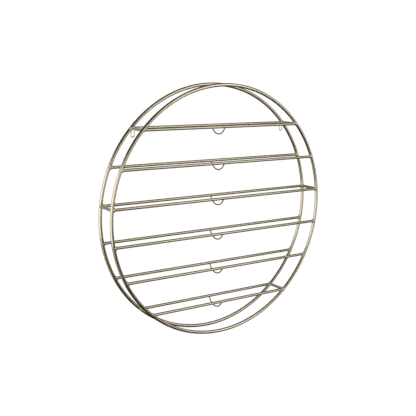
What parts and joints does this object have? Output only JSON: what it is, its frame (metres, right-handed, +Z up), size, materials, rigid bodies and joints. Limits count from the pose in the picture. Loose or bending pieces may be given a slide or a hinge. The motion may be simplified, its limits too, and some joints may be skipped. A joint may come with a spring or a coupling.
{
  "type": "wine rack",
  "caption": "Round wall-mounted wine rack of two tube rings joined by shelves of paired bars, with a wire cradle at the middle of each shelf.",
  "frame": {"origin": "midway between the two wall screws, in the wall plane, at the height where the underside of the top rear bar bears on the screws", "axes": "+X to the right along the shelves as seen from the front, +Y into the wall, +Z up"},
  "size_m": [0.8, 0.083, 0.8],
  "materials": {
    "champagne_tube": "satin",
    "champagne_wire": "satin",
    "weld_bead": "satin"
  },
  "bodies": {
    "root": {"rear_ring": "champagne_tube", "front_ring": "champagne_tube", "ring_seam_welds": "weld_bead", "shelf_1_rear_bar": "champagne_tube", "shelf_1_front_bar": "champagne_tube", "shelf_2_rear_bar": "champagne_tube", "shelf_2_front_bar": "champagne_tube", "shelf_3_rear_bar": "champagne_tube", "shelf_3_front_bar": "champagne_tube", "shelf_4_rear_bar": "champagne_tube", "shelf_4_front_bar": "champagne_tube", "shelf_5_rear_bar": "champagne_tube", "shelf_5_front_bar": "champagne_tube", "shelf_6_rear_bar": "champagne_tube", "shelf_6_front_bar": "champagne_tube", "shelf_1_left_crossbar": "champagne_tube", "shelf_1_right_crossbar": "champagne_tube", "shelf_3_left_crossbar": "champagne_tube", "shelf_3_right_crossbar": "champagne_tube", "shelf_6_left_crossbar": "champagne_tube", "shelf_6_right_crossbar": "champagne_tube", "cradle_1": "champagne_wire", "cradle_2": "champagne_wire", "cradle_3": "champagne_wire", "cradle_4": "champagne_wire", "cradle_5": "champagne_wire", "cradle_6": "champagne_wire", "left_hanger_loop": "champagne_wire", "right_hanger_loop": "champagne_wire", "rear_ring_welds": "weld_bead", "front_ring_welds": "weld_bead", "crossbar_welds": "weld_bead", "cradle_welds": "weld_bead", "hanger_welds": "weld_bead"}
  },
  "joints": []
}
